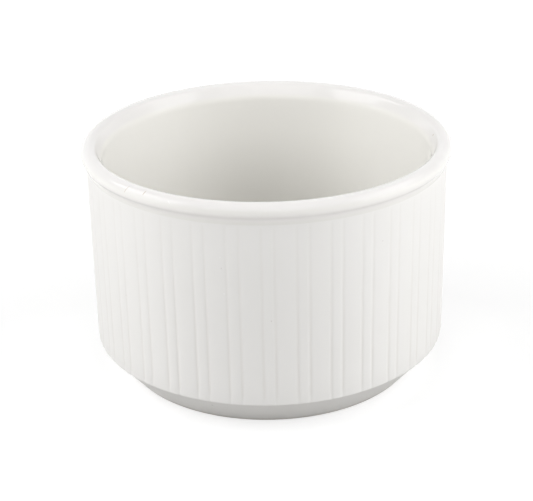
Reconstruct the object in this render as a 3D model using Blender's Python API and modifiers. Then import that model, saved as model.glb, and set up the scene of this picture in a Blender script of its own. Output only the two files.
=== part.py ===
"""Bouillon cup in white porcelain: a turned body with a rolled rim, a fluted wall and a conical foot,
and the two coats of glaze that it carries. Metres, +Z up, with the origin in the middle of the
plane that the foot stands on. Sections are lists of (radius, height) points."""

import math

import bmesh
import bpy

MM = 0.001

# Whole cup
WALL_DIAMETER = 92.5 * MM  # over the fluted bands
CUP_HEIGHT = 61.6 * MM
WALL_THICKNESS = 3.95 * MM  # from the bands to the glazed face inside

# Rim and inside, as the glazed faces measure
BEAD_RADIUS = 2.05 * MM
RIM_OVERHANG = 1.25 * MM  # how far the bead stands out past the wall
LIP_DEPTH = 3.6 * MM  # from the rim's top down to where the bead's flank meets the upright wall
LIP_ROUND = 5.0 * MM
FLOOR_HEIGHT = 6.6 * MM  # inside floor, above the table
FLOOR_CORNER = 9.0 * MM

# Fluted wall
WALL_EDGE_HEIGHT = 8.45 * MM  # lower edge of the wall, above the table
WALL_EDGE_ROUND = 0.45 * MM
FLUTE_PAIRS = 35
GROOVE_SPACING = 3.0 * MM  # between the two grooves of a pair
GROOVE_WIDTH = 0.9 * MM
GROOVE_DEPTH = 0.24 * MM  # at the wall's lower edge, from where it gets shallower towards the rim
CROWN_RISE = 0.1 * MM  # how far the middle of a band, or of the rib in a pair, stands above its sides
TOP_SHARE = 0.36  # groove depth at the top of that taper, as a share of the depth at the lower edge
EDGE_SHARE = 0.6  # and on the wall's rounded lower edge
RUN_OUT_START = 6.8 * MM  # below the rim's top, where the taper ends and the grooves run out
RUN_OUT_END = 4.8 * MM  # below the rim's top, where they are gone

# Foot
CONE_SETBACK = 0.9 * MM  # from the bands in to the cone
CONE_DROP = 0.35 * MM  # upright step under the wall's lower edge
FOOT_DIAMETER = 76.4 * MM  # outer edge of the flat resting ring
FOOT_EDGE_ROUND = 0.8 * MM
RING_WIDTH = 2.6 * MM
RING_EDGE_ROUND = 0.5 * MM
RECESS_DEPTH = 2.0 * MM
RECESS_CORNER = 1.2 * MM

# Coats
GLAZE_THICKNESS = 0.3 * MM
BOND_GAP = 0.2 * MM  # left between a coat and the body under it

# Fineness
TURN_STEPS = 72
BEAD_STEPS = 7
CORNER_STEPS = 4
EDGE_STEPS = 2

WALL_RADIUS = WALL_DIAMETER / 2
RIM_RADIUS = WALL_RADIUS + RIM_OVERHANG
INSIDE_RADIUS = WALL_RADIUS - WALL_THICKNESS
CONE_RADIUS = WALL_RADIUS - CONE_SETBACK
COAT_DEPTH = GLAZE_THICKNESS + BOND_GAP
BEAD_CENTRE = (RIM_RADIUS - BEAD_RADIUS, CUP_HEIGHT - BEAD_RADIUS)
RECESS_RADIUS = FOOT_DIAMETER / 2 - RING_WIDTH - RING_EDGE_ROUND

# Angles round the wall, in radians from the middle of a pair
HALF_SECTOR = math.pi / FLUTE_PAIRS  # to the middle of a band
HALF_PAIR = GROOVE_SPACING / WALL_DIAMETER  # to the middle of a groove
HALF_GROOVE = GROOVE_WIDTH / WALL_DIAMETER


def arc(centre, radius, start, end, steps):
    """Points along a circle. The angles, in degrees, count from straight outwards to straight up."""
    angles = [math.radians(start + (end - start) * i / steps) for i in range(steps + 1)]
    return [(centre[0] + radius * math.cos(a), centre[1] + radius * math.sin(a)) for a in angles]


def tangent_angle(centre, radius, point):
    """Angle at which a line from the point touches the circle, on its clockwise side."""
    across, up = point[0] - centre[0], point[1] - centre[1]
    towards = math.atan2(up, across) % math.tau
    return math.degrees(towards - math.acos(radius / math.hypot(across, up)))


def bead_end(clear_radius, depth):
    """Angle under the bead at which the face this deep in it comes in to the clear radius."""
    return -math.degrees(math.acos((clear_radius - BEAD_CENTRE[0]) / (BEAD_RADIUS - depth)))


def inside_section(depth, end):
    """From the middle of the floor, up the inside and over the bead to the end angle under it, for
    the face that lies this deep under the glazed one."""
    corner = (INSIDE_RADIUS - FLOOR_CORNER, FLOOR_HEIGHT + FLOOR_CORNER)
    flank = tangent_angle(BEAD_CENTRE, BEAD_RADIUS, (INSIDE_RADIUS, CUP_HEIGHT - LIP_DEPTH))
    across = INSIDE_RADIUS + LIP_ROUND - BEAD_CENTRE[0]
    drop = (BEAD_RADIUS - LIP_ROUND - across * math.cos(math.radians(flank))) / math.sin(math.radians(flank))
    lip = (INSIDE_RADIUS + LIP_ROUND, BEAD_CENTRE[1] + drop)
    return (
        [(0.0, FLOOR_HEIGHT - depth)]
        + arc(corner, FLOOR_CORNER + depth, -90, 0, CORNER_STEPS)
        + arc(lip, LIP_ROUND - depth, 180, flank, EDGE_STEPS)
        + arc(BEAD_CENTRE, BEAD_RADIUS - depth, flank, end, BEAD_STEPS)
    )


def foot_section():
    """From the upright step under the wall, down the cone and over the resting ring's two edges."""
    cone_top = (CONE_RADIUS, WALL_EDGE_HEIGHT - CONE_DROP)
    outer = (FOOT_DIAMETER / 2, FOOT_EDGE_ROUND)
    inner = (RECESS_RADIUS + RING_EDGE_ROUND, RING_EDGE_ROUND)
    return (
        [cone_top]
        + arc(outer, FOOT_EDGE_ROUND, tangent_angle(outer, FOOT_EDGE_ROUND, cone_top), -90, EDGE_STEPS)
        + arc(inner, RING_EDGE_ROUND, -90, -180, EDGE_STEPS)
    )


def recess_section(depth, low):
    """From the recess's side at the low height, round its corner and in to the middle of its roof."""
    corner = (RECESS_RADIUS - RECESS_CORNER, RECESS_DEPTH - RECESS_CORNER)
    return (
        [(RECESS_RADIUS + depth, low)]
        + arc(corner, RECESS_CORNER + depth, 0, 90, EDGE_STEPS)
        + [(0.0, RECESS_DEPTH + depth)]
    )


def groove_depth(away):
    """Depth of the wall's face at this angle from a pair's middle, where the grooves are deepest."""
    if away < HALF_PAIR:
        crown = CROWN_RISE * (away / HALF_PAIR) ** 2
    else:
        crown = CROWN_RISE * ((HALF_SECTOR - away) / (HALF_SECTOR - HALF_PAIR)) ** 2
    off = min(abs(away - HALF_PAIR) / HALF_GROOVE, 1.0)
    return crown + (GROOVE_DEPTH - CROWN_RISE) * math.cos(math.pi / 2 * off) ** 2


def groove_plan():
    """(angle, depth) of the ten points that draw one pair of grooves and the bands beside them."""
    shoulder = HALF_PAIR + HALF_GROOVE
    half = [HALF_PAIR - HALF_GROOVE, HALF_PAIR, shoulder, (shoulder + HALF_SECTOR) / 2]
    angles = [-away for away in reversed(half)] + [0.0] + half + [HALF_SECTOR]
    return [(angle, groove_depth(abs(angle))) for angle in angles]


def wall_ring(radius, height, share):
    """One ring of points round the wall, with the grooves cut to this share of their depth."""
    ring = []
    for pair in range(FLUTE_PAIRS):
        middle = math.tau * pair / FLUTE_PAIRS - math.pi / 2
        for angle, depth in groove_plan():
            r = radius - share * depth
            ring.append((r * math.cos(middle + angle), r * math.sin(middle + angle), height))
    return ring


def wall_rings():
    """Rings of the fluted band: up its outside, where the grooves get shallower and run out below
    the rim, and down the middle of the wall, where the band joins the turned body."""
    join_radius = (INSIDE_RADIUS + COAT_DEPTH + WALL_RADIUS) / 2
    return [
        wall_ring(join_radius, WALL_EDGE_HEIGHT, 0.0),
        wall_ring(WALL_RADIUS - WALL_EDGE_ROUND, WALL_EDGE_HEIGHT, EDGE_SHARE),
        wall_ring(WALL_RADIUS, WALL_EDGE_HEIGHT + WALL_EDGE_ROUND, 1.0),
        wall_ring(WALL_RADIUS, CUP_HEIGHT - RUN_OUT_START, TOP_SHARE),
        wall_ring(WALL_RADIUS, CUP_HEIGHT - RUN_OUT_END, 0.0),
        wall_ring(WALL_RADIUS, BEAD_CENTRE[1], 0.0),
        wall_ring(join_radius, BEAD_CENTRE[1], 0.0),
    ]


def new_object(name, mesh, collection):
    obj = bpy.data.objects.new(name, mesh)
    collection.objects.link(obj)
    return obj


def turned(name, section, collection):
    """A solid turned about Z from a section whose outer side runs from top to bottom."""
    mesh = bpy.data.meshes.new(name)
    points = [(r, 0.0, z) for r, z in section]
    mesh.from_pydata(points, [(i, i + 1) for i in range(len(points) - 1)], [])
    obj = new_object(name, mesh, collection)
    screw = obj.modifiers.new("turn", "SCREW")
    screw.steps = TURN_STEPS
    screw.render_steps = TURN_STEPS
    screw.use_merge_vertices = True
    screw.merge_threshold = 0.01 * MM
    return obj


def lofted(name, rings, collection):
    """A closed band through rings of equally many points, the last ring joined to the first."""
    shape = bmesh.new()
    loops = [[shape.verts.new(point) for point in ring] for ring in rings]
    for lower, upper in zip(loops, loops[1:] + loops[:1]):
        for i in range(len(lower)):
            shape.faces.new((lower[i - 1], lower[i], upper[i], upper[i - 1]))
    bmesh.ops.recalc_face_normals(shape, faces=shape.faces)
    mesh = bpy.data.meshes.new(name)
    shape.to_mesh(mesh)
    shape.free()
    return new_object(name, mesh, collection)


def finish(obj, material):
    """Apply the modifiers, shade the round faces smooth and keep the real edges sharp."""
    bpy.context.view_layer.update()
    mesh = bpy.data.meshes.new_from_object(obj.evaluated_get(bpy.context.evaluated_depsgraph_get()))
    obj.modifiers.clear()
    obj.data = mesh
    mesh.name = obj.name
    mesh.materials.clear()
    mesh.materials.append(material)
    mesh.shade_smooth()
    mesh.set_sharp_from_angle(angle=math.radians(35))


def ceramic(name, colour, roughness):
    material = bpy.data.materials.new(name)
    material.use_nodes = True
    surface = material.node_tree.nodes["Principled BSDF"]
    surface.inputs["Base Color"].default_value = (*colour, 1.0)
    surface.inputs["Roughness"].default_value = roughness
    surface.inputs["Metallic"].default_value = 0.0
    return material


def make_body(parts, helpers):
    """The fired body: the turned shape joined to the fluted band of the wall."""
    section = (
        inside_section(COAT_DEPTH, bead_end(CONE_RADIUS, COAT_DEPTH))
        + foot_section()
        + recess_section(COAT_DEPTH, RING_EDGE_ROUND)
    )
    body = turned("porcelain_body", section, parts)
    band = lofted("fluted_band", wall_rings(), helpers)
    band.hide_render = True
    band.display_type = "WIRE"
    join = body.modifiers.new("flutes", "BOOLEAN")
    join.operation = "UNION"
    join.object = band
    finish(body, ceramic("satin_porcelain", (0.78, 0.77, 0.745), 0.55))


def make_inner_glaze(parts):
    """The gloss coat over the inside and the rim, down to just clear of the wall under the bead."""
    end = bead_end(WALL_RADIUS + BOND_GAP, GLAZE_THICKNESS)
    face = inside_section(0.0, end)
    back = inside_section(GLAZE_THICKNESS, end)
    glaze = turned("inner_glaze", face + back[::-1], parts)
    finish(glaze, ceramic("gloss_glaze", (0.78, 0.77, 0.74), 0.08))


def make_base_glaze(parts):
    """The coat in the recess under the floor, down to just above the bare resting ring's edge."""
    low = RING_EDGE_ROUND + BOND_GAP
    face = recess_section(0.0, low)
    back = recess_section(GLAZE_THICKNESS, low)
    glaze = turned("base_glaze", back[::-1] + face, parts)
    finish(glaze, ceramic("base_gloss_glaze", (0.77, 0.76, 0.73), 0.12))


def main():
    for obj in list(bpy.data.objects):
        bpy.data.objects.remove(obj, do_unlink=True)
    parts = bpy.data.collections.new("bouillon_cup")
    helpers = bpy.data.collections.new("construction")
    bpy.context.scene.collection.children.link(parts)
    bpy.context.scene.collection.children.link(helpers)
    make_body(parts, helpers)
    make_inner_glaze(parts)
    make_base_glaze(parts)


if __name__ == "__main__":
    main()
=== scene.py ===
"""Bouillon cup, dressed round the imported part: fluted body, coats of glaze, floor, light and camera.
Laid out as an add-on and run as a script. Metres, +Z up, with the foot standing on z = 0."""

import math

import bmesh
import bpy
from bpy.props import FloatProperty, FloatVectorProperty, IntProperty, PointerProperty
from mathutils import Matrix, Vector


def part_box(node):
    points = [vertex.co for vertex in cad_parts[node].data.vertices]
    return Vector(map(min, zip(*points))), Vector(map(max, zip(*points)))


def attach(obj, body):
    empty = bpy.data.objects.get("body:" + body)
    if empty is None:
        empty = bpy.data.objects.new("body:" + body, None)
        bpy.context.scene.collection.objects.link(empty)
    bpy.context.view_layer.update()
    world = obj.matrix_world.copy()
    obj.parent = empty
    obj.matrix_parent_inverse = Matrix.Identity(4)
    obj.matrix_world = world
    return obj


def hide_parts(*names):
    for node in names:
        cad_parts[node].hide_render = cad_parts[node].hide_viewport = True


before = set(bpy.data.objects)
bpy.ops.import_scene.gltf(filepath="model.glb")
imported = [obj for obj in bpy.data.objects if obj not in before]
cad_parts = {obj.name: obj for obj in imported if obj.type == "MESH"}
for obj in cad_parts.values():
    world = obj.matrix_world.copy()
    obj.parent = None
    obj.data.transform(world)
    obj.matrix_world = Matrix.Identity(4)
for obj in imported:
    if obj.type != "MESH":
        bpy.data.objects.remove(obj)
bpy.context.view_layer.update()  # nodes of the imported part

bl_info = {
    "name": "Bouillon Cup",
    "version": (1, 0, 0),
    "blender": (4, 5, 0),
    "location": "View3D > Sidebar > Bouillon Cup",
    "description": "Models a fluted porcelain bouillon cup with its glaze, floor, light and camera",
    "category": "Add Mesh",
}

MM = 0.001
AXIS_POINT = (0.0, 0.0, 0.0)
UP = (0.0, 0.0, 1.0)
RIM_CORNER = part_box("inner_glaze")[1]  # half the rim's width, twice, and the cup's height
PHOTO_WIDTH = 533  # pixels
SENSOR_WIDTH = 36.0  # millimetres

CLEARANCE = 0.02 * MM  # kept between two faces that would coincide
COAT_BEVEL = 0.1 * MM  # on the end of a coat of glaze
SAME_HEIGHT = 0.01 * MM  # two points this close count as level
SAME_ANGLE = 0.0002  # radians, for two points that count as in line
FADE_STEPS = 4  # rows over which a groove runs out
TAPER_STEPS = 10  # rows from there to the wall's lower edge
EDGE_STEPS = 4  # rows round that edge
INSIDE_STEPS = 288  # faces round the glossy inside
BASE_STEPS = 192  # faces round the glossy base

SIDE_X = 0.6  # from the cup to the softboxes at its sides
SIDE_FRONT = -0.42  # where these begin, on the camera's side
SIDE_SPLIT = 0.35  # height where the low ones end and the high ones begin

BROWN = (0.45, 0.36, 0.27)  # the colours of the small marks
GREY = (0.35, 0.32, 0.28)
PALE = (0.9, 0.9, 0.9)


# Settings

def length(name, description, millimetres):
    return FloatProperty(
        name=name, description=description, default=millimetres * MM, min=0.0, precision=5, unit="LENGTH"
    )


def share(name, description, value):
    return FloatProperty(
        name=name, description=description, default=value, min=0.0, max=1.0, subtype="FACTOR"
    )


def radiance(name, description, value):
    return FloatProperty(name=name, description=description, default=value, min=0.0)


def colour(name, description, value):
    return FloatVectorProperty(
        name=name, description=description, default=value, size=3, min=0.0, max=1.0, subtype="COLOR"
    )


class CupShape(bpy.types.PropertyGroup):
    """Rim, inside and foot."""

    rim_radius: length("Rim radius", "Out to the bead's widest line", RIM_CORNER.x / MM)
    height: length("Height", "From the table to the top of the rim", RIM_CORNER.z / MM)
    wall_radius: length("Wall radius", "Out to the fluted bands", 46.25)
    wall_thickness: length("Wall thickness", "From the bands to the glazed face inside", 3.95)
    bead_radius: length("Bead radius", "Of the rolled rim's section", 2.05)
    lip_depth: length("Lip depth", "From the rim's top to where flank and upright wall would meet", 3.6)
    lip_round: length("Lip round", "Of the edge between flank and upright wall", 5.0)
    crease_round: length("Crease round", "Of the glaze that fills the crease under the bead", 3.0)
    floor_height: length("Floor height", "Inside floor, above the table", 6.6)
    floor_corner: length("Floor corner", "Between floor and wall inside", 9.0)
    edge_height: length("Wall edge height", "Lower edge of the wall, above the table", 8.45)
    edge_round: length("Wall edge round", "Of the wall's lower edge", 0.45)
    cone_setback: length("Foot setback", "From the wall in to the top of the conical foot", 0.9)
    cone_drop: length("Foot step", "Upright step between the wall's edge and the cone", 0.35)
    foot_radius: length("Foot radius", "Out to the resting ring's outer edge", 38.2)
    foot_round: length("Foot edge round", "Of the resting ring's outer edge", 0.8)
    ring_width: length("Ring width", "Of the flat ring that the cup stands on", 2.6)
    ring_round: length("Ring inner round", "Of the resting ring's inner edge", 0.5)
    recess_depth: length("Recess depth", "Of the hollow under the foot", 2.0)
    recess_corner: length("Recess corner", "Between the hollow's side and roof", 1.2)
    glaze: length("Glaze thickness", "Of the gloss coats", 0.3)
    bond: length("Bond line", "Left free under a coat", 0.2)


class FluteShape(bpy.types.PropertyGroup):
    """The pairs of grooves round the wall."""

    pairs: IntProperty(name="Pairs", description="Pairs of grooves round the wall", default=35, min=3)
    spacing: length("Spacing", "Between the two grooves of a pair", 3.0)
    width: length("Groove width", "Across one groove, with its rounded shoulders", 1.3)
    depth: length("Groove depth", "Below the bands, at the wall's lower edge", 0.17)
    crown: length("Crown", "How far the middle of a band or rib stands above its sides", 0.1)
    run_out: length("Run-out", "From the rim's top to where the grooves end", 4.8)
    fade: length("Fade", "Height over which the grooves run out", 2.0)
    top_share: share("Top share", "Groove depth under the run-out, as a share of the full depth", 0.3)
    edge_share: share("Edge share", "Groove depth on the wall's rounded lower edge", 0.6)


class CupFinish(bpy.types.PropertyGroup):
    """Colours and gloss."""

    satin_colour: colour("Satin colour", "Of the outer wall and the foot", (0.78, 0.77, 0.752))
    gloss_colour: colour("Gloss colour", "Of the glazed inside and rim", (0.78, 0.77, 0.74))
    satin_roughness: share("Satin roughness", "Of the outer wall", 0.55)
    gloss_roughness: share("Gloss roughness", "Of the glazed faces", 0.08)
    satin_mirror: share("Satin reflection", "Specular level of the outer wall, where 0.5 is plain", 0.3)
    gloss_mirror: share("Gloss reflection", "Specular level of the glazed faces, where 0.5 is plain", 0.2)


class StageLight(bpy.types.PropertyGroup):
    """Light and table. A radiance of 1 is white."""

    left_low: radiance("Left low softbox", "At -X, down to the table", 2.05)
    left_high: radiance("Left high softbox", "At -X, above the low one", 6.1)
    right_low: radiance("Right low softbox", "At +X, down to the table", 3.3)
    right_high: radiance("Right high softbox", "At +X, above the low one", 4.9)
    back: radiance("Back softbox", "Behind the cup", 0.5)
    front: radiance("Front softbox", "Over the camera", 1.9)
    table: share("Table", "How much light the table throws back on the cup", 0.5)
    shadow: share("Shadow", "How strongly the cup's shadow shows on the table", 0.5)
    glow: share("Table white", "What is added to the table near the cup, as the camera sees it", 0.56)


class CupSettings(bpy.types.PropertyGroup):
    """All that can be set for the cup."""

    shape: PointerProperty(type=CupShape)
    flutes: PointerProperty(type=FluteShape)
    finish: PointerProperty(type=CupFinish)
    light: PointerProperty(type=StageLight)


# Drawing and turning

class Pen:
    """Draws a section in the XZ plane, as (radius, height), by extruding and spinning one vertex."""

    def __init__(self, name, start):
        bpy.ops.object.select_all(action="DESELECT")
        bpy.ops.mesh.primitive_plane_add(size=MM, enter_editmode=True)
        bpy.ops.mesh.merge(type="CENTER")
        bpy.ops.transform.translate(value=(start[0], 0.0, start[1]))
        self.object = bpy.context.object
        self.object.name = name
        self.object.data.name = name
        self.at = Vector(start)

    def line(self, end, steps=1):
        """Straight to the end point, in equal steps."""
        step = (Vector(end) - self.at) / steps
        for _ in range(steps):
            bpy.ops.mesh.extrude_region_move(TRANSFORM_OT_translate={"value": (step.x, 0.0, step.y)})
        self.at = Vector(end)

    def arc(self, centre, radius, start, end, steps):
        """Along a circle, from one angle to another. Degrees count from straight out to straight up."""
        first, last = [Vector(centre) + radius * direction(angle) for angle in (start, end)]
        if (first - self.at).length > SAME_HEIGHT / 10:
            self.line(first)
        middle = (centre[0], 0.0, centre[1])
        turn = math.radians(end - start)
        bpy.ops.mesh.spin(steps=steps, angle=turn, center=middle, axis=(0.0, 1.0, 0.0))
        self.at = last


def direction(degrees):
    return Vector((math.cos(math.radians(degrees)), math.sin(math.radians(degrees))))


def touch_angle(centre, radius, point):
    """Angle at which a line from the point touches the circle, on its clockwise side."""
    towards = Vector(point) - Vector(centre)
    turn = math.atan2(towards.y, towards.x) % math.tau
    return math.degrees(turn - math.acos(radius / towards.length))


def spin_round(angle, steps):
    """Turns what is selected round the cup's axis."""
    bpy.ops.mesh.spin(steps=steps, angle=angle, center=AXIS_POINT, axis=UP)


def close_up(sharp_degrees):
    """Joins the seams and poles of the shape in edit mode and shades it."""
    bpy.ops.mesh.select_all(action="SELECT")
    bpy.ops.mesh.remove_doubles(threshold=0.002 * MM)
    bpy.ops.mesh.normals_make_consistent(inside=False)
    bpy.ops.object.mode_set(mode="OBJECT")
    bpy.ops.object.shade_smooth_by_angle(angle=math.radians(sharp_degrees))


def ride_for(piece, node):
    """The piece stands for a CAD node and rides on the cup's one body."""
    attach(piece, "root")
    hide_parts(node)


def bead_centre(shape):
    return Vector((shape.rim_radius - shape.bead_radius, shape.height - shape.bead_radius))


def floor_corner_centre(shape):
    inside = shape.wall_radius - shape.wall_thickness
    return Vector((inside - shape.floor_corner, shape.floor_height + shape.floor_corner))


def lip_arc(shape):
    """Centre of the round between the upright wall and the bead's flank, and the flank's angle."""
    inside = shape.wall_radius - shape.wall_thickness
    centre = bead_centre(shape)
    flank = touch_angle(centre, shape.bead_radius, (inside, shape.height - shape.lip_depth))
    outward = direction(flank)
    across = inside + shape.lip_round - centre.x
    drop = (shape.bead_radius - shape.lip_round - across * outward.x) / outward.y
    return Vector((inside + shape.lip_round, centre.y + drop)), flank


def draw_inside(pen, shape, depth, steps):
    """From where the pen stands, in the middle of the floor, up the inside and on to the bead's
    flank, for the face this deep under the glazed one. Returns the angle where the bead begins."""
    lip, flank = lip_arc(shape)
    pen.arc(floor_corner_centre(shape), shape.floor_corner + depth, -90, 0, steps)
    pen.line((shape.wall_radius - shape.wall_thickness + depth, lip.y), steps)
    pen.arc(lip, shape.lip_round - depth, 180, flank, steps // 2)
    return flank


# Fired body

def wall_rows(shape, flutes):
    """(height, share of the groove depth) of the rows down the wall, from under the bead."""
    top = shape.height - flutes.run_out
    low = shape.edge_height + shape.edge_round
    rows = [(top, 0.0)]
    for i in range(1, FADE_STEPS + 1):
        run = i / FADE_STEPS
        rows.append((top - flutes.fade * run, flutes.top_share * run * run * (3 - 2 * run)))
    start = rows[-1][0]
    for i in range(1, TAPER_STEPS + 1):
        run = i / TAPER_STEPS
        rows.append((start + (low - start) * run, flutes.top_share + (1 - flutes.top_share) * run))
    return rows


def edge_rows(shape, flutes):
    """(height, share of the groove depth) of the rows round the wall's lower edge."""
    rows = []
    for i in range(1, EDGE_STEPS + 1):
        run = i / EDGE_STEPS
        height = shape.edge_height + shape.edge_round * (1 + direction(-90 * run).y)
        rows.append((height, 1 + (flutes.edge_share - 1) * run))
    return rows


def draw_foot(pen, shape, coat):
    """From the wall's lower edge down the cone, round the ring it stands on and over the hollow."""
    cone_top = (shape.wall_radius - shape.cone_setback, shape.edge_height - shape.cone_drop)
    pen.line((cone_top[0], shape.edge_height))
    pen.line(cone_top)
    outer = (shape.foot_radius, shape.foot_round)
    pen.arc(outer, shape.foot_round, touch_angle(outer, shape.foot_round, cone_top), -90, 6)
    recess = shape.foot_radius - shape.ring_width - shape.ring_round
    pen.arc((recess + shape.ring_round, shape.ring_round), shape.ring_round, -90, -180, 5)
    corner = (recess - shape.recess_corner, shape.recess_depth - shape.recess_corner)
    pen.arc(corner, shape.recess_corner + coat, 0, 90, 5)
    pen.line((0.0, shape.recess_depth + coat))


def draw_body(shape, rows):
    """The section of the fired body, from the floor's middle over the rim and down to the foot."""
    coat = shape.glaze + shape.bond
    centre = bead_centre(shape)
    core = shape.bead_radius - coat
    pen = Pen("fluted_body", (0.0, shape.floor_height - coat))
    flank = draw_inside(pen, shape, coat, 6)
    under = -math.degrees(math.acos((shape.wall_radius - centre.x) / core))
    pen.arc(centre, core, flank, under, 10)
    for height, _ in rows:
        pen.line((shape.wall_radius, height))
    edge = (shape.wall_radius - shape.edge_round, shape.edge_height + shape.edge_round)
    pen.arc(edge, shape.edge_round, 0, -90, EDGE_STEPS)
    draw_foot(pen, shape, coat)
    return pen.object


def groove_depth(flutes, wall_radius, angle):
    """Depth at an angle from a pair's middle, at full depth."""
    sector = math.pi / flutes.pairs
    half_pair = flutes.spacing / 2 / wall_radius
    away = abs(angle)
    middle, half_band = (0.0, half_pair) if away < half_pair else (sector, sector - half_pair)
    crown = flutes.crown * ((away - middle) / half_band) ** 2
    off = abs(away - half_pair) * wall_radius / (flutes.width / 2)
    groove = (flutes.depth - flutes.crown) * math.cos(math.pi / 2 * off) ** 2 if off < 1 else 0.0
    return crown + groove


def press(obj, angle, height, depth, inner_limit):
    """Moves the wall's outside at one angle and height towards the axis."""
    mesh = bmesh.from_edit_mesh(obj.data)
    radius = 0.0
    for vert in mesh.verts:
        level = abs(vert.co.z - height) < SAME_HEIGHT
        in_line = abs(math.atan2(vert.co.y, vert.co.x) - angle) < SAME_ANGLE
        vert.select = level and in_line and vert.co.xy.length > inner_limit
        if vert.select:
            radius = vert.co.xy.length
    mesh.select_flush_mode()
    bmesh.update_edit_mesh(obj.data)
    factor = (radius - depth) / radius
    bpy.ops.transform.resize(value=(factor, factor, 1.0), center_override=AXIS_POINT)


def flute_sector(obj, shape, flutes, rows):
    """Spins the section over one sector and presses its bands and its pair of grooves in, by rows."""
    sector = math.tau / flutes.pairs
    half_pair = flutes.spacing / 2 / shape.wall_radius
    groove = flutes.width / shape.wall_radius
    side = sector / 2 - half_pair - groove / 2
    rib = 2 * half_pair - groove
    bpy.ops.mesh.select_all(action="SELECT")
    angles = [0.0]
    for part, steps in ((side, 5), (groove, 6), (rib, 6), (groove, 6), (side, 5)):
        spin_round(part, steps)
        angles += [angles[-1] + part * (i + 1) / steps for i in range(steps)]
    inner_limit = shape.wall_radius - shape.wall_thickness / 2
    for angle in angles:
        full = groove_depth(flutes, shape.wall_radius, angle - sector / 2)
        for height, part in rows:
            press(obj, -angle, height, full * part, inner_limit)


class CUP_OT_fluted_body(bpy.types.Operator):
    """Model the fired body with its fluted wall and conical foot"""

    bl_idname = "cup.fluted_body"
    bl_label = "Fluted Body"

    def execute(self, context):
        shape = context.scene.bouillon_cup.shape
        flutes = context.scene.bouillon_cup.flutes
        rows = wall_rows(shape, flutes)
        obj = draw_body(shape, rows)
        flute_sector(obj, shape, flutes, rows[1:] + edge_rows(shape, flutes))
        bpy.ops.mesh.select_all(action="SELECT")
        sector = math.tau / flutes.pairs
        turn = sector * (flutes.pairs - 1)
        bpy.ops.mesh.spin(steps=flutes.pairs - 1, dupli=True, angle=turn, center=AXIS_POINT, axis=UP)
        close_up(40)
        obj.rotation_euler.z = -math.pi / 2 + sector / 2
        bpy.ops.object.transform_apply(location=False, rotation=True, scale=False)
        obj.data.materials.append(satin_porcelain(context.scene.bouillon_cup))
        ride_for(obj, "porcelain_body")
        return {"FINISHED"}


# Coats of glaze

class CUP_OT_inner_glaze(bpy.types.Operator):
    """Model the gloss coat over the inside and the rim"""

    bl_idname = "cup.inner_glaze"
    bl_label = "Inner Glaze"

    def execute(self, context):
        shape = context.scene.bouillon_cup.shape
        centre = bead_centre(shape)
        pen = Pen("glossy_inside", (0.0, shape.floor_height))
        flank = draw_inside(pen, shape, 0.0, 16)
        skin = shape.wall_radius + CLEARANCE
        reach = shape.bead_radius + shape.crease_round
        fill = Vector((skin + shape.crease_round, 0.0))
        fill.y = centre.y - math.sqrt(reach * reach - (fill.x - centre.x) ** 2)
        under = math.degrees(math.atan2(fill.y - centre.y, fill.x - centre.x))
        pen.arc(centre, shape.bead_radius, flank, under, 44)
        pen.arc(fill, shape.crease_round, under + 180, 180, 8)
        pen.line((shape.wall_radius - COAT_BEVEL, fill.y + COAT_BEVEL))
        back_start = -48  # degrees on the bead, from where the coat's back follows it
        pen.arc(centre, shape.bead_radius - shape.glaze, back_start, flank, 16)
        pen.arc(lip_arc(shape)[0], shape.lip_round - shape.glaze, flank, 180, 4)
        pen.arc(floor_corner_centre(shape), shape.floor_corner + shape.glaze, 0, -90, 8)
        pen.line((0.0, shape.floor_height - shape.glaze))
        bpy.ops.mesh.select_all(action="SELECT")
        spin_round(math.tau, INSIDE_STEPS)
        close_up(50)
        pen.object.data.materials.append(gloss_glaze(context.scene.bouillon_cup))
        ride_for(pen.object, "inner_glaze")
        return {"FINISHED"}


class CUP_OT_base_glaze(bpy.types.Operator):
    """Model the gloss coat in the hollow under the foot"""

    bl_idname = "cup.base_glaze"
    bl_label = "Base Glaze"

    def execute(self, context):
        shape = context.scene.bouillon_cup.shape
        recess = shape.foot_radius - shape.ring_width - shape.ring_round
        corner = (recess - shape.recess_corner, shape.recess_depth - shape.recess_corner)
        low = shape.ring_round + shape.bond
        pen = Pen("glossy_base", (0.0, shape.recess_depth + shape.glaze))
        pen.arc(corner, shape.recess_corner + shape.glaze, 90, 0, 6)
        pen.line((recess + shape.glaze, low))
        pen.line((recess + COAT_BEVEL, low))
        pen.line((recess, low + COAT_BEVEL))
        pen.arc(corner, shape.recess_corner, 0, 90, 12)
        pen.line((0.0, shape.recess_depth))
        bpy.ops.mesh.select_all(action="SELECT")
        spin_round(math.tau, BASE_STEPS)
        close_up(50)
        pen.object.data.materials.append(base_gloss_glaze(context.scene.bouillon_cup))
        ride_for(pen.object, "base_glaze")
        return {"FINISHED"}


# Nodes

def add_node(tree, kind, values=None, **settings):
    """A node of this kind. Each value fills a socket, or is another node's socket to join to it."""
    node = tree.nodes.new(kind)
    for name, value in settings.items():
        setattr(node, name, value)
    for socket, value in (values or {}).items():
        if isinstance(value, bpy.types.NodeSocket):
            tree.links.new(value, node.inputs[socket])
        else:
            node.inputs[socket].default_value = value
    return node


def calc(tree, operation, *values):
    return add_node(tree, "ShaderNodeMath", dict(enumerate(values)), operation=operation).outputs[0]


def vector_calc(tree, operation, first, second):
    return add_node(tree, "ShaderNodeVectorMath", {0: first, 1: second}, operation=operation)


def vector_length(tree, vector):
    return add_node(tree, "ShaderNodeVectorMath", {0: vector}, operation="LENGTH").outputs["Value"]


def smooth_step(tree, value, low, high, at_low=0.0, at_high=1.0):
    limits = {"Value": value, "From Min": low, "From Max": high, "To Min": at_low, "To Max": at_high}
    return add_node(tree, "ShaderNodeMapRange", limits, interpolation_type="SMOOTHSTEP").outputs["Result"]


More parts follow.
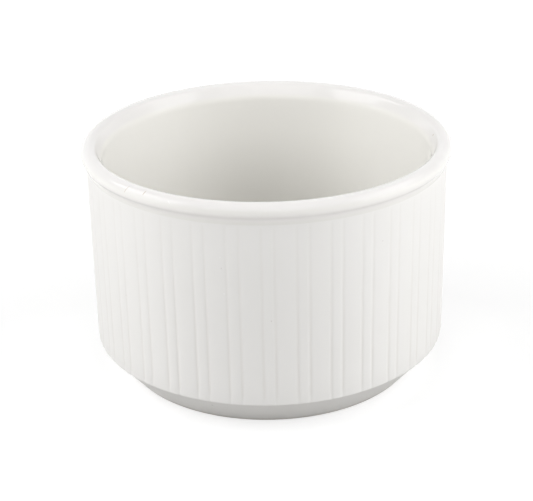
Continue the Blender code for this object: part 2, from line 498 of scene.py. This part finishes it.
def blend(tree, factor, first, second):
    """Colour between two colours."""
    values = {"Factor": factor, 6: first, 7: second}
    return add_node(tree, "ShaderNodeMix", values, data_type="RGBA").outputs[2]


def new_group(name, inputs, output):
    """An empty node group: its tree, the sockets of its inputs and the socket of its one value."""
    tree = bpy.data.node_groups.new(name, "ShaderNodeTree")
    for label, default in inputs.items():
        kind = "NodeSocketVector" if isinstance(default, tuple) else "NodeSocketFloat"
        socket = tree.interface.new_socket(label, in_out="INPUT", socket_type=kind)
        socket.default_value = default
    tree.interface.new_socket(output, in_out="OUTPUT", socket_type="NodeSocketFloat")
    return tree, tree.nodes.new("NodeGroupInput").outputs, tree.nodes.new("NodeGroupOutput").inputs[0]


def soft_drift():
    """Slow change of tone over the fired surface, from 0 to 1."""
    inputs = {"Position": (0.0, 0.0, 0.0), "Size": 20 * MM}
    tree, given, end = new_group("soft_drift", inputs, "Tone")
    scale = calc(tree, "DIVIDE", 1.0, given["Size"])
    values = {"Vector": given["Position"], "Scale": scale, "Detail": 2.0, "Roughness": 0.4}
    noise = add_node(tree, "ShaderNodeTexNoise", values).outputs["Fac"]
    tree.links.new(smooth_step(tree, noise, 0.3, 0.7), end)
    return tree


def fine_grain():
    """Height of a fine, even grain."""
    inputs = {"Position": (0.0, 0.0, 0.0), "Size": 0.2 * MM}
    tree, given, end = new_group("fine_grain", inputs, "Height")
    scale = calc(tree, "DIVIDE", 1.0, given["Size"])
    values = {"Vector": given["Position"], "Scale": scale, "Detail": 3.0, "Roughness": 0.6}
    tree.links.new(add_node(tree, "ShaderNodeTexNoise", values).outputs["Fac"], end)
    return tree


def kiln_specks():
    """Mask of rare round specks: one cell of the spacing in so many has one."""
    inputs = {"Position": (0.0, 0.0, 0.0), "Spacing": 6 * MM, "Size": 0.12 * MM, "Share": 0.1}
    tree, given, end = new_group("kiln_specks", inputs, "Mask")
    scale = calc(tree, "DIVIDE", 1.0, given["Spacing"])
    values = {"Vector": given["Position"], "Scale": scale, "Randomness": 0.9}
    cells = add_node(tree, "ShaderNodeTexVoronoi", values).outputs
    lot = add_node(tree, "ShaderNodeSeparateColor", {0: cells["Color"]}).outputs[0]
    chosen = calc(tree, "LESS_THAN", lot, given["Share"])
    away = calc(tree, "MULTIPLY", cells["Distance"], given["Spacing"])
    half = calc(tree, "MULTIPLY", given["Size"], 0.5)
    spot = smooth_step(tree, away, half, given["Size"], 1.0, 0.0)
    tree.links.new(calc(tree, "MULTIPLY", chosen, spot), end)
    return tree


def short_mark():
    """Mask of one short straight mark, given by its middle, direction, length and width."""
    inputs = {
        "Position": (0.0, 0.0, 0.0),
        "Middle": (0.0, 0.0, 0.0),
        "Along": (1.0, 0.0, 0.0),
        "Length": 1 * MM,
        "Width": 0.2 * MM,
    }
    tree, given, end = new_group("short_mark", inputs, "Mask")
    offset = vector_calc(tree, "SUBTRACT", given["Position"], given["Middle"]).outputs[0]
    run = vector_calc(tree, "DOT_PRODUCT", offset, given["Along"]).outputs["Value"]
    half = calc(tree, "MULTIPLY", given["Length"], 0.5)
    held = calc(tree, "MAXIMUM", calc(tree, "MINIMUM", run, half), calc(tree, "MULTIPLY", half, -1.0))
    step = {0: given["Along"], "Scale": held}
    nearest = add_node(tree, "ShaderNodeVectorMath", step, operation="SCALE").outputs[0]
    away = vector_length(tree, vector_calc(tree, "SUBTRACT", offset, nearest).outputs[0])
    core = calc(tree, "MULTIPLY", given["Width"], 0.25)
    rim = calc(tree, "MULTIPLY", given["Width"], 0.6)
    tree.links.new(smooth_step(tree, away, core, rim, 1.0, 0.0), end)
    return tree


GROUPS = {maker.__name__: maker for maker in (soft_drift, fine_grain, kiln_specks, short_mark)}


def place_group(tree, name, position, **values):
    """The output of a node group, which is made when it is first placed."""
    group = bpy.data.node_groups.get(name) or GROUPS[name]()
    node = add_node(tree, "ShaderNodeGroup", node_tree=group)
    tree.links.new(position, node.inputs["Position"])
    for label, value in values.items():
        node.inputs[label.capitalize()].default_value = value
    return node.outputs[0]


def new_material(name, base, roughness, mirror):
    """A plain ceramic: its tree, its Principled BSDF and the object's own coordinates."""
    material = bpy.data.materials.new(name)
    material.use_nodes = True
    material.diffuse_color = (*base, 1.0)
    tree = material.node_tree
    surface = tree.nodes["Principled BSDF"]
    surface.inputs["Base Color"].default_value = (*base, 1.0)
    surface.inputs["Roughness"].default_value = roughness
    surface.inputs["Specular IOR Level"].default_value = mirror
    return material, tree, surface, add_node(tree, "ShaderNodeTexCoord").outputs["Object"]


def add_bump(tree, surface, height, depth):
    bump = add_node(tree, "ShaderNodeBump", {"Height": height, "Distance": depth, "Strength": 1.0})
    tree.links.new(bump.outputs["Normal"], surface.inputs["Normal"])


def radius_and_height(tree, position):
    """Distance from the cup's axis and height above the table."""
    parts = add_node(tree, "ShaderNodeSeparateXYZ", {0: position}).outputs
    across = add_node(tree, "ShaderNodeCombineXYZ", {"X": parts["X"], "Y": parts["Y"]}).outputs[0]
    return vector_length(tree, across), parts["Z"]


def tinted(base, tint):
    return tuple(channel * part for channel, part in zip(base, tint)) + (1.0,)


def grey(value):
    return (value, value, value, 1.0)


def drifting(tree, tone, middle, spread):
    """A value that goes with the tone from this far under the middle to this far over it."""
    return smooth_step(tree, tone, 0.0, 1.0, middle - spread, middle + spread)


# Marks

def round_point(azimuth, radius, height):
    """Azimuths, in degrees, count from the camera's side (-Y) towards +X."""
    turn = math.radians(azimuth)
    return Vector((radius * math.sin(turn), -radius * math.cos(turn), height))


def bead_point(shape, azimuth, angle):
    """A point on the rolled rim, by its azimuth and its angle on the bead's section."""
    centre = bead_centre(shape)
    out = centre + shape.bead_radius * direction(angle)
    return round_point(azimuth, out.x, out.y)


def add_marks(tree, position, shade, marks):
    """Lays short marks over a colour. Each is two end points, a width, a strength and a colour."""
    for start, end, width, strength, tint in marks:
        along = end - start
        span = {"middle": (start + end) / 2, "along": along.normalized(), "length": along.length}
        mask = place_group(tree, "short_mark", position, width=width, **span)
        shade = blend(tree, calc(tree, "MULTIPLY", mask, strength), shade, (*tint, 1.0))
    return shade


def hairline(shape, start, end, strength):
    """A fine brown mark laid over the bead in short pieces, between two (azimuth, angle) points."""
    pieces, width = 3, 0.24 * MM
    steps = [[a + (b - a) * i / pieces for a, b in zip(start, end)] for i in range(pieces + 1)]
    points = [bead_point(shape, *step) for step in steps]
    return [(a, b, width, strength, BROWN) for a, b in zip(points, points[1:])]


def rim_marks(shape):
    """Two hairlines across the bead, a small nick and a kiln speck on the flank."""
    marks = hairline(shape, (-44.15, 60), (-45.0, 14), 0.45)
    marks += hairline(shape, (-37.45, 66), (-37.8, 37), 0.6)
    nick = (bead_point(shape, -28.8, 34), bead_point(shape, -28.2, 22))
    marks.append((*nick, 0.25 * MM, 0.35, (0.93, 0.93, 0.93)))
    spot = round_point(93.3, 43.27 * MM, 59.8 * MM)
    marks.append((spot, spot + Vector((0.0, 0.0, 0.05 * MM)), 0.5 * MM, 1.0, BROWN))
    return marks


def wall_marks():
    """Kiln specks on the wall and the foot, and two pale specks, as azimuth, radius, height, width,
    strength and colour, in degrees and millimetres."""
    spots = [
        (-13.6, 46.2, 44.95, 0.35, 0.2, GREY),
        (-49.7, 46.1, 31.1, 0.35, 0.2, GREY),
        (36.1, 46.25, 47.85, 0.3, 0.25, GREY),
        (0.7, 46.25, 31.6, 0.3, 0.3, GREY),
        (-19.2, 43.77, 6.2, 0.5, 0.5, GREY),
        (-13.9, 46.2, 47.8, 0.3, 0.5, PALE),
        (-13.05, 46.2, 38.4, 0.3, 0.5, PALE),
    ]
    marks = []
    for azimuth, radius, height, width, strength, tint in spots:
        spot = round_point(azimuth, radius * MM, height * MM)
        marks.append((spot, spot + Vector((0.0, 0.0, 0.1 * MM)), width * MM, strength, tint))
    return marks


def add_specks(tree, position, shade, base, spacing):
    """Lays rare kiln specks over a colour."""
    specks = place_group(tree, "kiln_specks", position, spacing=spacing, size=0.12 * MM, share=0.06)
    return blend(tree, calc(tree, "MULTIPLY", specks, 0.5), shade, tinted(base, (0.6, 0.55, 0.5)))


# Materials

def satin_porcelain(settings):
    """Unglazed, polished wall and foot: a fine grain, with painted shade that makes it greyer in the
    grooves, on the foot and where it stands, and rougher where it stands.
    """
    finish = settings.finish
    material, tree, surface, position = new_material(
        "satin_porcelain", finish.satin_colour, finish.satin_roughness, finish.satin_mirror
    )
    radius, height = radius_and_height(tree, position)
    base = finish.satin_colour
    tone = place_group(tree, "soft_drift", position, size=24 * MM)
    half_tone = calc(tree, "MULTIPLY", tone, 0.5)
    shade = blend(tree, half_tone, (*base, 1.0), tinted(base, (0.985, 0.985, 0.98)))
    shape, flutes = settings.shape, settings.flutes
    low = shape.edge_height + shape.edge_round
    high = shape.height - flutes.run_out - flutes.fade
    # Painted shade: the grooves are tinted greyer for the shade they hold under grazing side light, more
    # so towards the wall's lower edge.
    taper = {"Value": height, "From Min": low, "From Max": high}
    taper.update({"To Min": flutes.depth, "To Max": flutes.depth * flutes.top_share})
    depth = add_node(tree, "ShaderNodeMapRange", taper).outputs["Result"]
    sunk = calc(tree, "DIVIDE", calc(tree, "SUBTRACT", shape.wall_radius, radius), depth)
    inside = smooth_step(tree, sunk, 0.3, 0.9)
    strength = smooth_step(tree, height, low + 4.0 * MM, high, 0.42, 0.17)
    on_wall = smooth_step(tree, height, low, low + 3.0 * MM)
    groove = calc(tree, "MULTIPLY", calc(tree, "MULTIPLY", inside, on_wall), strength)
    shade = blend(tree, groove, shade, tinted(base, (0.9, 0.885, 0.865)))
    # Painted shade: the foot under the wall's lower edge is tinted a little darker.
    foot = smooth_step(tree, height, shape.edge_height - 0.1 * MM, shape.edge_height, 1.0, 0.0)
    shade = blend(tree, foot, shade, tinted(base, (0.95, 0.945, 0.935)))
    # Painted shade where the foot meets the table: darker over its lowest 1.8 mm. The same band is also
    # made rougher.
    standing = smooth_step(tree, height, 0.1 * MM, 1.8 * MM, 1.0, 0.0)
    shade = blend(tree, calc(tree, "MULTIPLY", standing, 0.6), shade, tinted(base, (0.72, 0.68, 0.63)))
    shade = add_specks(tree, position, shade, base, 7 * MM)
    shade = add_marks(tree, position, shade, wall_marks())
    tree.links.new(shade, surface.inputs["Base Color"])
    rough = drifting(tree, tone, finish.satin_roughness, 0.03)
    rough = calc(tree, "ADD", rough, calc(tree, "MULTIPLY", standing, 0.25))
    tree.links.new(rough, surface.inputs["Roughness"])
    grain = place_group(tree, "fine_grain", position, size=0.25 * MM)
    add_bump(tree, surface, grain, 0.004 * MM)
    return material


def gloss_glaze(settings):
    """Clear glaze over the white body, faintly rippled, greyer on the rim's crown as painted shade,
    whiter in the crease under the bead as painted light, and with the rim's small marks of use."""
    finish = settings.finish
    material, tree, surface, position = new_material(
        "gloss_glaze", finish.gloss_colour, finish.gloss_roughness, finish.gloss_mirror
    )
    base = finish.gloss_colour
    tone = place_group(tree, "soft_drift", position, size=30 * MM)
    half_tone = calc(tree, "MULTIPLY", tone, 0.5)
    shade = blend(tree, half_tone, (*base, 1.0), tinted(base, (0.99, 0.99, 0.982)))
    shade = add_specks(tree, position, shade, base, 9 * MM)
    radius, height = radius_and_height(tree, position)
    below = calc(tree, "SUBTRACT", settings.shape.height, height)
    outside = calc(tree, "GREATER_THAN", radius, bead_centre(settings.shape).x)
    inner_reach, outer_reach = 2.4 * MM, 0.6 * MM  # of the painted shade on the crown, down from the rim's top
    reach = calc(tree, "MULTIPLY_ADD", outside, outer_reach - inner_reach, inner_reach)
    # Painted shade on the rim's crown: its up-facing top is tinted greyer so it is not lit brighter than
    # the wall.
    painted_crown_shade = smooth_step(tree, calc(tree, "SUBTRACT", below, reach), 0.0, 1.4 * MM, 1.0, 0.0)
    shade = blend(tree, painted_crown_shade, shade, tinted(base, (0.952, 0.947, 0.968)))
    # Painted light in the crease under the bead: the glaze is tinted whiter there to lift the shade under
    # the overhang.
    start = smooth_step(tree, below, 1.3 * MM, 2.9 * MM)
    stop = smooth_step(tree, below, 3.9 * MM, 5.2 * MM, 1.0, 0.0)
    painted_crease_light = calc(tree, "MULTIPLY", outside, calc(tree, "MULTIPLY", start, stop))
    shade = blend(tree, painted_crease_light, shade, tinted(base, (1.15, 1.14, 1.155)))
    shade = add_marks(tree, position, shade, rim_marks(settings.shape))
    tree.links.new(shade, surface.inputs["Base Color"])
    tree.links.new(drifting(tree, tone, finish.gloss_roughness, 0.02), surface.inputs["Roughness"])
    ripple = place_group(tree, "soft_drift", position, size=7 * MM)
    add_bump(tree, surface, ripple, 0.006 * MM)
    return material


def base_gloss_glaze(settings):
    """The same glaze under the foot, less even in tone and more rippled."""
    finish = settings.finish
    material, tree, surface, position = new_material(
        "base_gloss_glaze", finish.gloss_colour, finish.gloss_roughness, finish.gloss_mirror
    )
    base = finish.gloss_colour
    tone = place_group(tree, "soft_drift", position, size=14 * MM)
    shade = blend(tree, tone, (*base, 1.0), tinted(base, (0.97, 0.97, 0.96)))
    tree.links.new(shade, surface.inputs["Base Color"])
    ripple = place_group(tree, "soft_drift", position, size=5 * MM)
    add_bump(tree, surface, ripple, 0.01 * MM)
    return material


# Floor, light and camera

def add_panel(name, corner, along, up, strength):
    """A rectangular softbox from one corner and its two sides, turned to face the cup."""
    corner, along, up = Vector(corner), Vector(along), Vector(up)
    middle = corner + along / 2 + up / 2
    bpy.ops.object.select_all(action="DESELECT")
    bpy.ops.object.light_add(type="AREA")
    lamp = bpy.context.object
    lamp.name = name
    lamp.data.shape = "RECTANGLE"
    lamp.data.size, lamp.data.size_y = along.length, up.length
    lamp.data.energy = math.pi * along.length * up.length * strength
    outward = along.cross(up).normalized()
    if outward.dot(middle) < 0:
        outward = -outward
    across = along.normalized()
    turn = Matrix((across, outward.cross(across), outward)).transposed().to_4x4()
    turn.translation = middle
    lamp.matrix_world = turn
    lamp.visible_camera = False


def shown_only(tree):
    """1 for what the camera sees, directly or in a reflection, and 0 for what only lights."""
    path = add_node(tree, "ShaderNodeLightPath").outputs
    mirrored = calc(tree, "MAXIMUM", path["Is Glossy Ray"], path["Is Transmission Ray"])
    return calc(tree, "MAXIMUM", path["Is Camera Ray"], mirrored)


def floor_material(light):
    """A pale matt table that the camera sees as white, with the cup's soft shadow near the cup."""
    material = bpy.data.materials.new("pale_table")
    material.use_nodes = True
    tree = material.node_tree
    tree.nodes.remove(tree.nodes["Principled BSDF"])
    lit = add_node(tree, "ShaderNodeBsdfDiffuse", {"Color": grey(light.table)}).outputs[0]
    soft = add_node(tree, "ShaderNodeBsdfDiffuse", {"Color": grey(light.shadow)}).outputs[0]
    away = radius_and_height(tree, add_node(tree, "ShaderNodeTexCoord").outputs["Object"])[0]
    near, far = 0.15, 0.5  # from the cup's axis, where the glow begins to grow and is full
    strength = smooth_step(tree, away, near, far, light.glow, 1.0)
    glow = add_node(tree, "ShaderNodeEmission", {"Color": grey(1.0), "Strength": strength}).outputs[0]
    shown = add_node(tree, "ShaderNodeAddShader", {0: soft, 1: glow}).outputs[0]
    mixed = add_node(tree, "ShaderNodeMixShader", {0: shown_only(tree), 1: lit, 2: shown}).outputs[0]
    tree.links.new(mixed, tree.nodes["Material Output"].inputs["Surface"])
    return material


def set_world(context):
    """White where it shows, and no light of its own on the cup."""
    world = bpy.data.worlds.new("studio")
    world.use_nodes = True
    context.scene.world = world
    tree = world.node_tree
    background = tree.nodes["Background"]
    background.inputs["Color"].default_value = grey(1.0)
    tree.links.new(shown_only(tree), background.inputs["Strength"])


class CUP_OT_stage(bpy.types.Operator):
    """Set up the floor, the light and the camera"""

    bl_idname = "cup.stage"
    bl_label = "Stage"

    def execute(self, context):
        light = context.scene.bouillon_cup.light
        bpy.ops.object.select_all(action="DESELECT")
        bpy.ops.mesh.primitive_circle_add(vertices=96, radius=3.0, fill_type="NGON")
        floor = bpy.context.object
        floor.name = "floor"
        floor.location.z = -CLEARANCE
        floor.data.materials.append(floor_material(light))
        set_world(context)
        sides = (
            ("left", -SIDE_X, light.left_low, light.left_high),
            ("right", SIDE_X, light.right_low, light.right_high),
        )
        for name, x, low, high in sides:
            foot, middle = (x, SIDE_FRONT, 0.0), (x, SIDE_FRONT, SIDE_SPLIT)
            add_panel(f"{name}_low_softbox", foot, (0.0, 0.44, 0.0), (0.0, 0.0, SIDE_SPLIT), low)
            add_panel(f"{name}_high_softbox", middle, (0.0, 0.7, 0.0), (0.0, 0.0, 0.45), high)
        add_panel("back_softbox", (-1.2, 0.8, 0.0), (2.4, 0.0, 0.0), (0.0, 0.0, 1.0), light.back)
        add_panel("front_softbox", (-0.6, -0.8, 0.2), (1.2, 0.0, 0.0), (0.0, 0.0, 0.75), light.front)
        add_camera(context)
        context.scene.view_settings.view_transform = "Standard"
        return {"FINISHED"}


def add_camera(context):
    """The photograph's camera, fitted to the outlines of rim, wall and foot."""
    distance = 375.8 * MM
    rise, turn, roll = [math.radians(angle) for angle in (24.004, 0.25, 1.155)]
    lens_pixels = 1416.0
    shift_pixels = (-1.79, -10.0)
    target = Vector((0.0, 0.0, 31.9 * MM))
    back = Vector((math.sin(turn) * math.cos(rise), -math.cos(turn) * math.cos(rise), math.sin(rise)))
    bpy.ops.object.camera_add(location=target + distance * back)
    camera = context.object
    camera.name = "camera"
    camera.rotation_euler = (-back).to_track_quat("-Z", "Y").to_euler()
    camera.rotation_euler.rotate_axis("Z", -roll)
    camera.data.sensor_width = SENSOR_WIDTH
    camera.data.lens = lens_pixels * SENSOR_WIDTH / PHOTO_WIDTH
    camera.data.shift_x = shift_pixels[0] / PHOTO_WIDTH
    camera.data.shift_y = shift_pixels[1] / PHOTO_WIDTH
    context.scene.camera = camera


# Panel and registration

class CUP_PT_panel(bpy.types.Panel):
    """Sizes, finishes and the steps that build the cup"""

    bl_idname = "CUP_PT_panel"
    bl_label = "Bouillon Cup"
    bl_space_type = "VIEW_3D"
    bl_region_type = "UI"
    bl_category = "Bouillon Cup"

    def draw(self, context):
        settings = context.scene.bouillon_cup
        for group in (settings.shape, settings.flutes, settings.finish, settings.light):
            box = self.layout.box()
            for name in type(group).__annotations__:
                box.prop(group, name)
        for operator in OPERATORS:
            self.layout.operator(operator.bl_idname)


OPERATORS = (CUP_OT_fluted_body, CUP_OT_inner_glaze, CUP_OT_base_glaze, CUP_OT_stage)
CLASSES = (CupShape, FluteShape, CupFinish, StageLight, CupSettings, *OPERATORS, CUP_PT_panel)


def register():
    for cls in CLASSES:
        bpy.utils.register_class(cls)
    bpy.types.Scene.bouillon_cup = PointerProperty(type=CupSettings)


def unregister():
    del bpy.types.Scene.bouillon_cup
    for cls in reversed(CLASSES):
        bpy.utils.unregister_class(cls)


def main():
    register()
    bpy.ops.cup.fluted_body()
    bpy.ops.cup.inner_glaze()
    bpy.ops.cup.base_glaze()
    bpy.ops.cup.stage()


if __name__ == "__main__":
    main()
